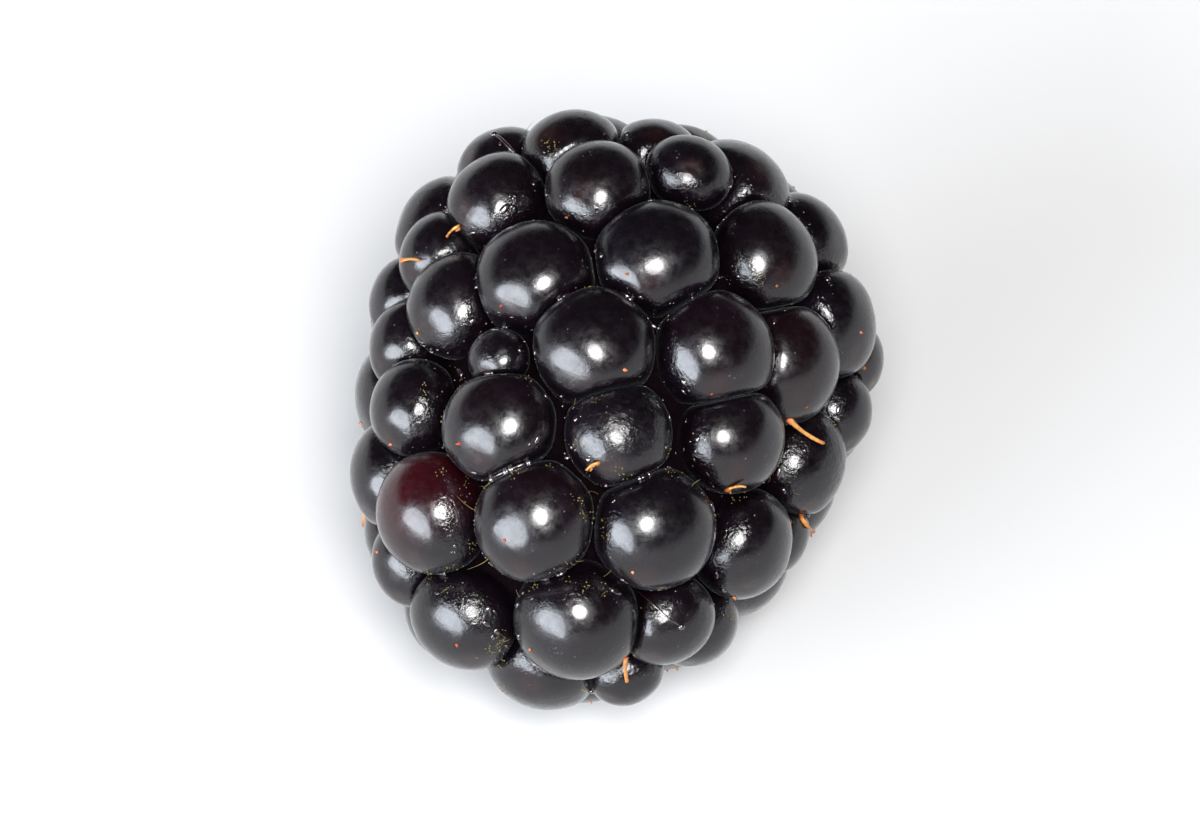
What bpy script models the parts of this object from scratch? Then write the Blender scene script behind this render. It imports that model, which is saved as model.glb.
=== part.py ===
"""A bramble berry, picked and lying on its side.

The fruit is a cluster of drupelets grown together round a pale receptacle, whose end shows in the hollow
of the stem end. A few withered styles, the dry threads left by the flower, still cling to the drupelets.

Frame: metres, +Z up. The berry's long axis lies along Y, its tip towards -Y and its stem end towards +Y.
The origin is on the surface that the berry rests on, under the middle of its bounding box.
"""

import math

import bmesh
import bpy
from mathutils import Matrix, Vector

MM = 0.001
TENTH = 0.1 * MM  # the unit of the layouts below

# ---- Driving dimensions ----
BERRY_WIDTH = 0.0210  # at mid-length; the stem half is a little wider
LENGTH_TO_WIDTH = 1.24
TAPER = 0.20  # how much wider than the middle the stem end's outline is, as a share
FULLNESS = 3.0  # 2 gives the outline pointed, egg-like ends, and more gives blunter ones
TOUCHING_GAP = 0.0003  # between pieces that touch
HALF_WIDTH = BERRY_WIDTH / 2
HALF_LENGTH = HALF_WIDTH * LENGTH_TO_WIDTH

# ---- How the berry lies ----
REST_PITCH = 10.0  # degrees about X, which lifts the stem end: the fruit is thicker there
REST_HEIGHT = 0.01002  # of the middle above the surface, which flattens four drupelets a little

# ---- Drupelets of the upper, tip-side face ----
# The face is laid out as it is seen from FACE_VIEW, degrees round to the right of the tip and degrees
# above it. Each drupelet is (right, up, radius, sunk), in tenths of a millimetre.
FACE_VIEW = (20.0, 58.0)
FACE = (
    # far side
    (-22, 115, 17, 0), (9, 113, 20, 0), (27, 114, 17, 3), (-34, 94, 19, 0), (8, 95, 19, 0),
    (46, 99, 15, 0), (84, 93, 21, 0), (103, 76, 19, 0),
    # upper rows
    (-60, 74, 16, 0), (-78, 58, 17, 0), (-76, 39, 16, 0), (-55, 53, 19, 0), (-21, 60, 22, 0),
    (29, 64, 22, 0), (74, 61, 20, 0), (98, 42, 21, 0),
    # middle rows
    (-39, 29, 11, 6), (0, 30, 22, 0), (49, 24, 22, -1), (78, 17, 22, 1), (107, 18, 15, 0),
    (-76, 12, 18, 0), (-41, 2, 20, 0), (7, -6, 19, 5), (53, -12, 20, 1), (96, -12, 16, 0),
    # lower rows
    (-88, -24, 20, 0), (-72, -32, 22, -2), (-30, -38, 21, 0), (18, -46, 22, 0), (85, -27, 20, 0),
    (-89, -51, 16, 1), (54, -56, 20, 0), (72, -53, 15, 2),
    # round the tip
    (-62, -75, 21, 0), (-16, -80, 23, -1), (20, -84, 17, 0), (33, -92, 17, 2), (-30, -95, 22, 2),
    (-2, -105, 14, 0),
)

# ---- Drupelets of the sides and underside, which fill the rest of the outline ----
FILL_RADIUS = 0.00205
FILL_CANDIDATES = 400
FILL_ROUNDS = 5
FACE_EDGE = 0.35  # none goes where the outline faces the viewer of FACE by more than this cosine
PACKING = 0.93  # between neighbours' centres, as a share of their radii's sum
ROOM = 0.80  # the share of that distance which a new drupelet needs before the others make way
SETTLE_STEPS = 25
MAKE_WAY = 0.3  # the share of its crowding that a drupelet gives way by in one step
HOLD_FROM = -0.1  # drupelets of FACE that turn this little to its viewer give way freely, as a cosine
HOLD_FULLY = 0.3  # and those that turn this much to it don't give way at all
STEM_RING = 7  # drupelets round the stem end's hollow
STEM_RING_REACH = 0.0044  # their centres' distance from the axis
STEM_RING_RADIUS = 0.0020
STEM_RING_HOLD = 0.7
STEM_RING_ROOM = 0.6

# ---- Drupelet form ----
SWELL = 1.06  # a drupelet's free radius over the radius that shows between its neighbours
FLESH = 0.82  # the fused bases' outline, as a share of the berry's outline
FLESH_SIDES = 16
FLESH_RINGS = 10
LOBE_SUBDIVISIONS = 2

# ---- Receptacle, along the berry's axis ----
RECEPTACLE_RADIUS = 0.0020
RECEPTACLE_INNER_RADIUS = 0.0015
RECEPTACLE_END = 0.0110  # its end's distance from the berry's middle
RECEPTACLE_DEPTH = 0.0042
RECEPTACLE_DOME = 0.0006
RECEPTACLE_SIDES = 20
DOME_RINGS = 3
SOCKET_GAP = 1.3 * TOUCHING_GAP  # measured across the axis, so that it also holds on the cone's slant

# ---- Styles ----
# Each is seen from a view like FACE_VIEW: the view, (right, up) of its root in tenths of a millimetre,
# its heading and how far that turns by its end, in degrees, and its length in millimetres.
STYLES = (
    (FACE_VIEW, (78, -6), -50, 25, 1.9),
    (FACE_VIEW, (2, -98), -100, 20, 1.1),
    (FACE_VIEW, (80, -47), -65, 25, 1.0),
    (FACE_VIEW, (-2, -17), -170, 40, 0.6),
    (FACE_VIEW, (50, -33), 25, -50, 0.8),
    (FACE_VIEW, (-76, 74), 10, -40, 0.8),
    (FACE_VIEW, (-51, 86), 200, 40, 0.7),
    ((105, -12), (-20, -30), -20, 60, 2.2),
    ((105, -12), (40, -15), 200, 50, 2.0),
    ((160, -10), (0, 15), 60, -60, 2.2),
    ((205, -5), (45, 25), -30, 70, 1.8),
    ((-75, -12), (10, -10), 20, -60, 2.1),
)
STYLE_RADIUS = 0.00012
STYLE_STEPS = 7
STIFFNESS = 30  # rounds of straightening, which carry a thread over the clefts
STYLE_LIFT = 0.0004  # how far its free end stands off the drupelets

GOLDEN_ANGLE = math.pi * (3 - math.sqrt(5))


def outline_value(p, inset=0.0):
    """1 on the berry's outline moved in by inset, and less inside it. The axis is along Y."""
    along = p.y / (HALF_LENGTH - inset)
    across = (HALF_WIDTH - inset) * (1 + TAPER * along)
    return (p.x**2 + p.z**2) / across**2 + abs(along) ** FULLNESS


def outline_normal(p, inset=0.0):
    step = 1e-6
    here = outline_value(p, inset)
    slopes = [outline_value(p + step * axis, inset) - here for axis in Matrix.Identity(3)]
    return Vector(slopes).normalized()


def onto_outline(start, direction, inset=0.0):
    """Where the line from start, which is inside the outline, leaves it."""
    near, far = 0.0, 3 * HALF_WIDTH
    for _ in range(40):
        middle = (near + far) / 2
        if outline_value(start + middle * direction, inset) < 1:
            near = middle
        else:
            far = middle
    return start + near * direction


def view_from(azimuth, elevation):
    """(right, up, back) of a view, from degrees round from the tip and above it."""
    azimuth, elevation = math.radians(azimuth), math.radians(elevation)
    right = Vector((math.cos(azimuth), math.sin(azimuth), 0))
    back = Vector(
        (
            math.sin(azimuth) * math.cos(elevation),
            -math.cos(azimuth) * math.cos(elevation),
            math.sin(elevation),
        )
    )
    return right, back.cross(right), back


def nearest_to_viewer(in_view, back, inset):
    """The outline's point nearest to the viewer on the sight line, which is drawn in if it misses."""
    steps = [HALF_LENGTH * k / 40 for k in range(60, -61, -1)]
    while True:
        for depth in steps:
            start = in_view + depth * back
            if outline_value(start, inset) < 1:
                return onto_outline(start, back, inset)
        in_view = in_view * 0.995


def face_drupelets():
    """(centre, radius, inset, hold) of each drupelet of FACE. hold is how firmly it keeps its place."""
    right, up, back = view_from(*FACE_VIEW)
    found = []
    for across, upwards, radius, sunk in FACE:
        inset = (radius + sunk) * TENTH
        in_view = (across * right + upwards * up) * TENTH
        centre = nearest_to_viewer(in_view, back, inset)
        facing = outline_normal(centre, inset).dot(back)
        hold = min(max((facing - HOLD_FROM) / (HOLD_FULLY - HOLD_FROM), 0), 1)
        found.append((centre, radius * TENTH, inset, hold))
    return found


def stem_ring_drupelets():
    found = []
    for i in range(STEM_RING):
        angle = 2 * math.pi * (i + 0.5) / STEM_RING
        start = STEM_RING_REACH * Vector((math.cos(angle), 0, math.sin(angle)))
        centre = onto_outline(start, Vector((0, 1, 0)), STEM_RING_RADIUS)
        found.append((centre, STEM_RING_RADIUS, STEM_RING_RADIUS, STEM_RING_HOLD))
    return found


def spiral_directions(count):
    """Directions spread evenly over a sphere, along a golden-angle spiral about Y."""
    for i in range(count):
        along = 1 - 2 * (i + 0.5) / count
        across = math.sqrt(1 - along**2)
        turn = i * GOLDEN_ANGLE
        yield Vector((across * math.cos(turn), along, across * math.sin(turn)))


def is_clear(centre, radius, others, share):
    return all((centre - c).length > share * PACKING * (radius + r) for c, r, _, _ in others)


def settled(found):
    """The drupelets after those that crowd each other have made way."""
    middle = Vector((0, 0, 0))
    for _ in range(SETTLE_STEPS):
        for i, (centre, radius, inset, hold) in enumerate(found):
            push = Vector((0, 0, 0))
            for other, other_radius, _, _ in found[:i] + found[i + 1 :]:
                apart = centre - other
                crowding = PACKING * (radius + other_radius) - apart.length
                if crowding > 0:
                    push += apart.normalized() * crowding
            moved = centre + MAKE_WAY * (1 - hold) * push
            found[i] = (onto_outline(middle, moved.normalized(), inset), radius, inset, hold)
    return found


def drupelets():
    """(centre, outward direction, radius) of every drupelet, in the berry's own frame."""
    _, _, back = view_from(*FACE_VIEW)
    found = face_drupelets()
    found += [d for d in stem_ring_drupelets() if is_clear(*d[:2], found, STEM_RING_ROOM)]
    hollow = onto_outline(Vector((0, 0, 0)), Vector((0, 1, 0)), FILL_RADIUS)
    found.append((hollow, RECEPTACLE_RADIUS, FILL_RADIUS, 1))
    for _ in range(FILL_ROUNDS):
        for direction in spiral_directions(FILL_CANDIDATES):
            centre = onto_outline(Vector((0, 0, 0)), direction, FILL_RADIUS)
            unseen = outline_normal(centre, FILL_RADIUS).dot(back) < FACE_EDGE
            if unseen and is_clear(centre, FILL_RADIUS, found, ROOM):
                found.append((centre, FILL_RADIUS, FILL_RADIUS, 0))
        found = settled(found)
    found = [d for d in found if d[0] != hollow]
    return [
        (centre, outline_normal(centre, inset), SWELL * radius) for centre, radius, inset, _ in found
    ]


def clear_scene():
    for obj in list(bpy.data.objects):
        bpy.data.objects.remove(obj)


def add_material(obj, name, colour, roughness):
    made = bpy.data.materials.new(name)
    made.use_nodes = True
    shader = made.node_tree.nodes["Principled BSDF"]
    shader.inputs["Base Color"].default_value = (*colour, 1)
    shader.inputs["Roughness"].default_value = roughness
    shader.inputs["Metallic"].default_value = 0
    obj.data.materials.append(made)


def add_mesh_object(name, bm, matrix=None, collection=None):
    bmesh.ops.recalc_face_normals(bm, faces=bm.faces)
    mesh = bpy.data.meshes.new(name)
    bm.to_mesh(mesh)
    bm.free()
    mesh.shade_smooth()
    obj = bpy.data.objects.new(name, mesh)
    obj.matrix_world = matrix or Matrix.Identity(4)
    (collection or bpy.context.scene.collection).objects.link(obj)
    return obj


def hide_helper(obj):
    obj.hide_render = True
    obj.display_type = "WIRE"


def rest_matrix():
    """From the berry's own frame to where it lies."""
    pitch = Matrix.Rotation(math.radians(REST_PITCH), 4, "X")
    return Matrix.Translation((0, 0, REST_HEIGHT)) @ pitch


def add_boolean(obj, name, operation, operand):
    modifier = obj.modifiers.new(name, "BOOLEAN")
    modifier.operation = operation
    modifier.solver = "EXACT"
    if isinstance(operand, bpy.types.Collection):
        modifier.operand_type = "COLLECTION"
        modifier.collection = operand
    else:
        modifier.object = operand


def build_lobes(pose):
    """One round helper for each drupelet, in a collection that isn't part of the model."""
    lobes = bpy.data.collections.new("drupelet_lobes")
    bpy.context.scene.collection.children.link(lobes)
    for i, (centre, outward, radius) in enumerate(drupelets()):
        bm = bmesh.new()
        turn = Vector((0, 0, 1)).rotation_difference(outward).to_matrix().to_4x4()
        bmesh.ops.create_icosphere(
            bm,
            subdivisions=LOBE_SUBDIVISIONS,
            radius=radius,
            matrix=Matrix.Translation(centre) @ turn,
        )
        hide_helper(add_mesh_object(f"lobe_{i + 1:02d}", bm, pose, lobes))
    return lobes


def build_table_cutter():
    side = 3 * BERRY_WIDTH
    bm = bmesh.new()
    bmesh.ops.create_cube(bm, size=side, matrix=Matrix.Translation((0, 0, -side / 2)))
    cutter = add_mesh_object("table_cutter", bm)
    hide_helper(cutter)
    return cutter


def turned_about_axis(profile, steps):
    """A closed body turned about the berry's axis. profile is (distance from the axis, y) points."""
    bm = bmesh.new()
    points = [bm.verts.new((x, y, 0)) for x, y in profile]
    edges = [bm.edges.new(pair) for pair in zip(points, points[1:])]
    bmesh.ops.spin(
        bm,
        geom=points + edges,
        cent=(0, 0, 0),
        axis=(0, 1, 0),
        angle=2 * math.pi,
        steps=steps,
    )
    bmesh.ops.remove_doubles(bm, verts=bm.verts, dist=1e-6)
    return bm


def build_receptacle(pose):
    """A short cone with a domed end, set in the hollow of the stem end."""
    inner = RECEPTACLE_END - RECEPTACLE_DEPTH
    dome = RECEPTACLE_DOME
    profile = [(0, inner), (RECEPTACLE_INNER_RADIUS, inner)]
    for k in range(DOME_RINGS):
        angle = math.pi / 2 * k / DOME_RINGS
        profile.append(
            (RECEPTACLE_RADIUS * math.cos(angle), RECEPTACLE_END - dome + dome * math.sin(angle))
        )
    profile.append((0, RECEPTACLE_END))
    receptacle = add_mesh_object("receptacle", turned_about_axis(profile, RECEPTACLE_SIDES), pose)
    add_material(receptacle, "receptacle_flesh", (0.56, 0.55, 0.25), 0.6)


def build_socket_cutter(pose):
    """The receptacle's room with the touching gap round it, open past the stem end."""
    inner = RECEPTACLE_END - RECEPTACLE_DEPTH - TOUCHING_GAP
    outer = RECEPTACLE_RADIUS + SOCKET_GAP
    past_end = 1.5 * HALF_LENGTH
    profile = [
        (0, inner),
        (RECEPTACLE_INNER_RADIUS + SOCKET_GAP, inner),
        (outer, RECEPTACLE_END - RECEPTACLE_DOME),
        (outer, past_end),
        (0, past_end),
    ]
    cutter = add_mesh_object("socket_cutter", turned_about_axis(profile, RECEPTACLE_SIDES), pose)
    hide_helper(cutter)
    return cutter


def flesh_profile():
    """The fused bases: the berry's outline made smaller, from the tip to the stem end."""
    points = []
    for k in range(FLESH_RINGS + 1):
        along = -math.cos(math.pi * k / FLESH_RINGS)
        across = (1 + TAPER * along) * math.sqrt(1 - abs(along) ** FULLNESS)
        points.append((FLESH * HALF_WIDTH * across, FLESH * HALF_LENGTH * along))
    return points


def build_fruit(pose):
    fruit = add_mesh_object("drupelets", turned_about_axis(flesh_profile(), FLESH_SIDES), pose)
    add_boolean(fruit, "grown_together", "UNION", build_lobes(pose))
    add_boolean(fruit, "socket", "DIFFERENCE", build_socket_cutter(pose))
    add_boolean(fruit, "rest_flats", "DIFFERENCE", build_table_cutter())
    add_material(fruit, "drupelet_skin", (0.02, 0.012, 0.02), 0.25)


def on_drupelets(in_view, back, clearance, fruit):
    """How far towards the viewer the sight line last meets a drupelet grown by clearance, or None."""
    depths = []
    for centre, _, radius in fruit:
        nearest = (centre - in_view).dot(back)
        off_line = (in_view + nearest * back - centre).length
        if off_line < radius + clearance:
            depths.append(nearest + math.sqrt((radius + clearance) ** 2 - off_line**2))
    return max(depths, default=None)


def style_points(style, fruit):
    """A stiff thread laid over the drupelets, clear of them, whose free end stands off a little."""
    view, (across, upwards), heading, turn, length = style
    right, up, back = view_from(*view)
    in_view = (across * right + upwards * up) * TENTH
    clearance = STYLE_RADIUS + TOUCHING_GAP
    path = []
    least = []
    for k in range(STYLE_STEPS + 1):
        found = on_drupelets(in_view, back, clearance, fruit)
        least.append(least[-1] - STYLE_RADIUS if found is None else found)
        path.append(in_view)
        angle = math.radians(heading + turn * k / STYLE_STEPS)
        step = length * MM / STYLE_STEPS
        in_view = in_view + step * (math.cos(angle) * right + math.sin(angle) * up)
    depths = list(least)
    for _ in range(STIFFNESS):
        for k in range(1, STYLE_STEPS):
            depths[k] = max(least[k], (depths[k - 1] + depths[k + 1]) / 2)
    lifts = [STYLE_LIFT * (k / STYLE_STEPS) ** 2 for k in range(STYLE_STEPS + 1)]
    return [p + (depth + lift) * back for p, depth, lift in zip(path, depths, lifts)]


def build_style(name, points, pose):
    curve = bpy.data.curves.new(name, "CURVE")
    curve.dimensions = "3D"
    curve.bevel_depth = STYLE_RADIUS
    curve.bevel_resolution = 1
    curve.resolution_u = 1
    curve.render_resolution_u = 0
    curve.use_fill_caps = True
    spline = curve.splines.new("POLY")
    spline.points.add(len(points) - 1)
    for point, place in zip(spline.points, points):
        point.co = (*place, 1)
        point.radius = 1
    obj = bpy.data.objects.new(name, curve)
    obj.matrix_world = pose
    bpy.context.scene.collection.objects.link(obj)
    add_material(obj, f"{name}_thread", (0.62, 0.33, 0.10), 0.7)


def main():
    clear_scene()
    pose = rest_matrix()
    build_fruit(pose)
    build_receptacle(pose)
    fruit = drupelets()
    for i, style in enumerate(STYLES):
        build_style(f"style_{i + 1:02d}", style_points(style, fruit), pose)


main()
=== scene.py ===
import math
import random

import bmesh
import bpy
import numpy as np
from mathutils import Matrix, Vector
from mathutils.bvhtree import BVHTree


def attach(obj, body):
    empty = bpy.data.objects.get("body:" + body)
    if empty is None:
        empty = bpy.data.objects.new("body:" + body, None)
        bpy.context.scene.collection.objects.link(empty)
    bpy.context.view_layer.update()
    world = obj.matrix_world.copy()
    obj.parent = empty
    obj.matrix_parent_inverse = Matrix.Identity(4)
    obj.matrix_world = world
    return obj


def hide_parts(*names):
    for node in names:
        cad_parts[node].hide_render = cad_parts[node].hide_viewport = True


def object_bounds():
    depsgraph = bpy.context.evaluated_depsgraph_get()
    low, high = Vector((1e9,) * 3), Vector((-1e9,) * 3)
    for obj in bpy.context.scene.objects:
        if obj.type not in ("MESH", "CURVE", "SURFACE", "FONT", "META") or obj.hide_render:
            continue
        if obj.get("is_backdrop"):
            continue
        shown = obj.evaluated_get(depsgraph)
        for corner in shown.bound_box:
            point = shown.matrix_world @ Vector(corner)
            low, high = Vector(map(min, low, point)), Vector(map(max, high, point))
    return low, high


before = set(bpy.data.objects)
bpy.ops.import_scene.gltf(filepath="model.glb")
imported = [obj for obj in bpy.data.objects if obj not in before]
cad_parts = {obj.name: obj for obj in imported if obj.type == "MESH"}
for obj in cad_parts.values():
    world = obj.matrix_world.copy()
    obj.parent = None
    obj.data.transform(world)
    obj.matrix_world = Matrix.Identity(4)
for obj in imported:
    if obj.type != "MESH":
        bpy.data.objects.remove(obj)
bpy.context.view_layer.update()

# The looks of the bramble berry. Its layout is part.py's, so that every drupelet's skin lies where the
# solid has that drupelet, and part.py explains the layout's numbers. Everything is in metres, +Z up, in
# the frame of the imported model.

MM = 0.001
TENTH = 0.1 * MM  # the unit of the layouts below

# ---- The berry's form and pose, as in part.py ----
BERRY_WIDTH = 0.0210
LENGTH_TO_WIDTH = 1.24
TAPER = 0.20
FULLNESS = 3.0
HALF_WIDTH = BERRY_WIDTH / 2
HALF_LENGTH = HALF_WIDTH * LENGTH_TO_WIDTH
REST_PITCH = 10.0
REST_HEIGHT = 0.01002

# ---- The drupelets' layout, as in part.py ----
# The face is laid out as it is seen from FACE_VIEW, degrees round to the right of the tip and degrees
# above it. Each drupelet is (right, up, radius, sunk), in tenths of a millimetre.
FACE_VIEW = (20.0, 58.0)
FACE = (
    # far side
    (-22, 115, 17, 0), (9, 113, 20, 0), (27, 114, 17, 3), (-34, 94, 19, 0), (8, 95, 19, 0),
    (46, 99, 15, 0), (84, 93, 21, 0), (103, 76, 19, 0),
    # upper rows
    (-60, 74, 16, 0), (-78, 58, 17, 0), (-76, 39, 16, 0), (-55, 53, 19, 0), (-21, 60, 22, 0),
    (29, 64, 22, 0), (74, 61, 20, 0), (98, 42, 21, 0),
    # middle rows
    (-39, 29, 11, 6), (0, 30, 22, 0), (49, 24, 22, -1), (78, 17, 22, 1), (107, 18, 15, 0),
    (-76, 12, 18, 0), (-41, 2, 20, 0), (7, -6, 19, 5), (53, -12, 20, 1), (96, -12, 16, 0),
    # lower rows
    (-88, -24, 20, 0), (-72, -32, 22, -2), (-30, -38, 21, 0), (18, -46, 22, 0), (85, -27, 20, 0),
    (-89, -51, 16, 1), (54, -56, 20, 0), (72, -53, 15, 2),
    # round the tip
    (-62, -75, 21, 0), (-16, -80, 23, -1), (20, -84, 17, 0), (33, -92, 17, 2), (-30, -95, 22, 2),
    (-2, -105, 14, 0),
)
FILL_RADIUS = 0.00205
FILL_CANDIDATES = 400
FILL_ROUNDS = 5
FACE_EDGE = 0.35
PACKING = 0.93
ROOM = 0.80
SETTLE_STEPS = 25
MAKE_WAY = 0.3
HOLD_FROM = -0.1
HOLD_FULLY = 0.3
STEM_RING = 7
STEM_RING_REACH = 0.0044
STEM_RING_RADIUS = 0.0020
STEM_RING_HOLD = 0.7
STEM_RING_ROOM = 0.6
SWELL = 1.06
GOLDEN_ANGLE = math.pi * (3 - math.sqrt(5))

# ---- The receptacle and the styles, as in part.py ----
RECEPTACLE_RADIUS = 0.0020
RECEPTACLE_END = 0.0110
RECEPTACLE_DEPTH = 0.0042
# Each style is seen from a view like FACE_VIEW: the view, (right, up) of its root in tenths of a
# millimetre, its heading and how far that turns by its end, in degrees, and its length in millimetres.
STYLES = (
    (FACE_VIEW, (78, -6), -50, 25, 1.9),
    (FACE_VIEW, (2, -98), -100, 20, 1.1),
    (FACE_VIEW, (80, -47), -65, 25, 1.0),
    (FACE_VIEW, (-2, -17), -170, 40, 0.6),
    (FACE_VIEW, (50, -33), 25, -50, 0.8),
    (FACE_VIEW, (-76, 74), 10, -40, 0.8),
    (FACE_VIEW, (-51, 86), 200, 40, 0.7),
    ((105, -12), (-20, -30), -20, 60, 2.2),
    ((105, -12), (40, -15), 200, 50, 2.0),
    ((160, -10), (0, 15), 60, -60, 2.2),
    ((205, -5), (45, 25), -30, 70, 1.8),
    ((-75, -12), (10, -10), 20, -60, 2.1),
)
STYLE_STEPS = 7
STIFFNESS = 30
STYLE_LIFT = 0.0004

# ---- Searches for places ----
HALVINGS = 40
SIGHT_STEPS = 40  # along half the berry's length
DRAWN_IN = 0.995  # a sight line that misses moves in to this share of its offset at a time
SIGHT_FROM = 0.05  # sight lines start this far in front of the berry's middle
PHASES = (0, 6)  # radians that a random wave or ring starts at

# ---- Skins ----
SKIN_SUBDIVISIONS = 5
SKIN_SPANS = ((0.97, 1.0), (1.12, 1.18), (1.08, 1.13))  # over the radius, outwards and two ways across
STEM_END_FACING = 0.72  # drupelets that face the stem end by more than this cosine ...
STEM_END_STRETCH = 1.26  # ... reach this much further towards and away from the hollow
LUMPS = 5
LUMP_HEIGHT = 0.006  # as a share of the radius
LUMP_FREQUENCY = 2.2
BASE_FROM = 0.3  # a skin's hidden base flattens from this far under its middle, as a cosine
BASE_FLATNESS = 0.30
SQUARENESS = 16.0  # more gives pressed skins flatter sides and sharper edges
NEIGHBOUR_REACH = 1.3  # over two radii's sum: skins closer than that press on each other
LEAST_REACH = 0.3  # no neighbour presses a skin in to less than this share of its radius
CLEFT_GAP = 0.03 * MM  # between the skins of drupelets that press on each other
PRESSED_FULLY = 0.05  # a skin pressed in by this share counts as wholly in a cleft
LOW_FROM = 0.62  # a part that faces outwards by less than this cosine starts to count as in a cleft ...
LOW_OVER = 0.35  # ... and it counts wholly from this much less
REST_SOFTNESS = 0.04 * MM  # of the edge where a skin flattens on the surface under it
RINGS = 8  # pieces that the skins are grouped in, from the tip to the stem end

# ---- What differs between drupelets, by their place in the layout ----
RIPENESS = {27: 1.0, 18: 0.10, 19: 0.18, 22: 0.05, 28: 0.05}  # redness of drupelets of FACE
OTHER_RED = {52: 0.7, 60: 0.35, 71: 0.5, 77: 0.25}  # and of others, on the sides that FACE doesn't show
CRINKLED = {16: 0.8, 23: 1.0, 30: 0.8, 38: 0.5, 36: 0.3}  # how dried some drupelets of FACE are
WET = (22, 27, 28, 29, 34, 35)  # drupelets of FACE with the most juice between them
RED_SHARE = (0.45, -0.75, 0.25)  # how red a skin is all over, and how much more to the tip and outwards
DRY_SHARE = (0.30, -0.54, 0.36)  # the same for how crinkled it is
SCAR_LEAN = 0.85  # radians from the outward direction towards the tip
SCAR_SPREAD = 0.22  # radians

# ---- The fused bases under the skins ----
CORE = 0.76  # their outline, as a share of the berry's
CORE_RINGS = 40
CORE_SIDES = 96
CORE_BUMPS = 9  # round the axis
CORE_BUMP_TWIST = 3 / MM  # radians per metre along it
CORE_BUMP_HEIGHT = 0.012
SOCKET_RADIUS = 1.2 * RECEPTACLE_RADIUS

# ---- Style threads ----
THREAD_POINTS = 34
THREAD_SIDES = 10
THREAD_RADIUS = 0.105 * MM
THREAD_TAPER = 0.35
THREAD_FLATNESS = 0.62
THREAD_CLEARANCE = 0.12 * MM  # between a thread's middle and the skins
THREAD_ROOT_DEPTH = 0.25 * MM
ROOT_SWELLING = (0.02, 0.07, 0.5)  # where along the thread, over how much of it, and how much wider
STIGMA_SWELLING = (0.96, 0.05, 0.35)
THREAD_WAVE = (0.10, 11, 5)  # how much wider, radians along the thread, and from one thread to the next
THREAD_UNEVENNESS = 0.05
END_FROM = 0.94  # the thread's end is round from here on
LEAST_END = 0.02  # the least that its square shrinks to, so that the end keeps a small face

# ---- Style stubs ----
# Where the flower's styles broke off: (right, up) as seen from FACE_VIEW, in tenths of a millimetre, and
# how red the stub is.
SCARS = (
    (-6, 85, 0.2), (-51, 85, 0.1), (-76, 75, 0.0), (-72, 43, 0.0), (-36, 51, 0.9), (17, 59, 0.3),
    (78, 49, 0.1), (112, 27, 0.4), (96, 95, 0.1), (12, 20, 0.3), (47, 7, 0.8), (86, -2, 0.7),
    (113, 12, 0.2), (-87, -2, 0.6), (-58, -4, 0.8), (-5, -19, 0.0), (51, -34, 0.2), (-43, -45, 0.9),
    (8, -63, 0.3), (-97, -46, 0.2), (-67, -87, 0.8), (-37, -91, 0.1), (49, -78, 0.0), (23, -107, 0.1),
)
STUB_RINGS = 5
STUB_SIDES = 7
STUB_SIZES = (0.11 * MM, 0.17 * MM)
OTHER_STUB_SIZES = (0.10 * MM, 0.17 * MM)
STUB_ROOT_DEPTH = 0.05 * MM
STUB_FOOT = 0.62  # its radius over its size
STUB_TAPER = 0.42
STUB_UNEVENNESS = (0.8, 1.2)
STUB_LEAN = 0.5  # at most, in each direction, over its size
STUB_TIPWARD = (0.5, 0.9)  # how far from a drupelet's top its stub sits, as a tangent
STUB_ASIDE = 0.3
STUB_CHANCE = 0.75  # of one on a drupelet that FACE doesn't show
STUB_SIGHT_FROM = 8 * MM
STUB_LOWEST = 0.5 * MM  # over the surface under it

# ---- Places in the clefts ----
CLEFT_SIGHT_FROM = 2 * MM  # over the outline
CLEFT_SLANT = 0.5  # at most, in each direction
CLEFT_LOWEST = 0.7 * MM

# ---- Juice: lines and drops ----
DROP_SUBDIVISIONS = 2
DROP_LENGTHS = (0.9, 1.3)
DROP_HEIGHT = 0.6
LINE_REACH = 1.05  # over the two radii's sum: lines lie between drupelets closer than that
LINE_HALF_WIDTHS = (0.06 * MM, 0.10 * MM)
WET_WIDER = 1.15
LINE_STEPS = 12
LINE_SIDES = 8
LINE_SWEEPS = (0.25, 0.9)  # radians round the crease
LINE_STARTS = (-0.9, 0.4)  # radians from where the crease faces outwards
WET_STARTS = (-0.9, 0.15)
LINE_CHANCE = 0.5
LINE_SIGHT_FROM = 6 * MM
LINE_JUMP = 0.6 * MM  # a crease with its two sides further apart than this is open
LINE_LEAST = 5  # points
LINE_LOWEST = 0.6 * MM
LINE_ROUNDING = (0.06, 0.88)  # where its half-round profile starts, and how much of it is used
END_DROP_SIZES = (1.4, 2.0)  # over the line's half width
END_DROP_CHANCE = 0.4
WET_END_DROP_CHANCE = 0.7
SPARKLES = 1000
SPARKLE_DEPTHS = (1.0 * MM, 3.0 * MM)  # under the outline
SPARKLE_SIZE = 0.05 * MM
SPARKLE_SIZES = (0.7, 1.4)
BIG_SPARKLE = 2.4
BIG_SPARKLE_CHANCE = 0.2
SPARKLE_LENGTHS = (1.0, 1.0, 1.2, 1.9)
SPARKLE_HEIGHT = 0.45
LEAST_SINE = 0.05  # of the angle between two directions that a third is taken across

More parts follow.
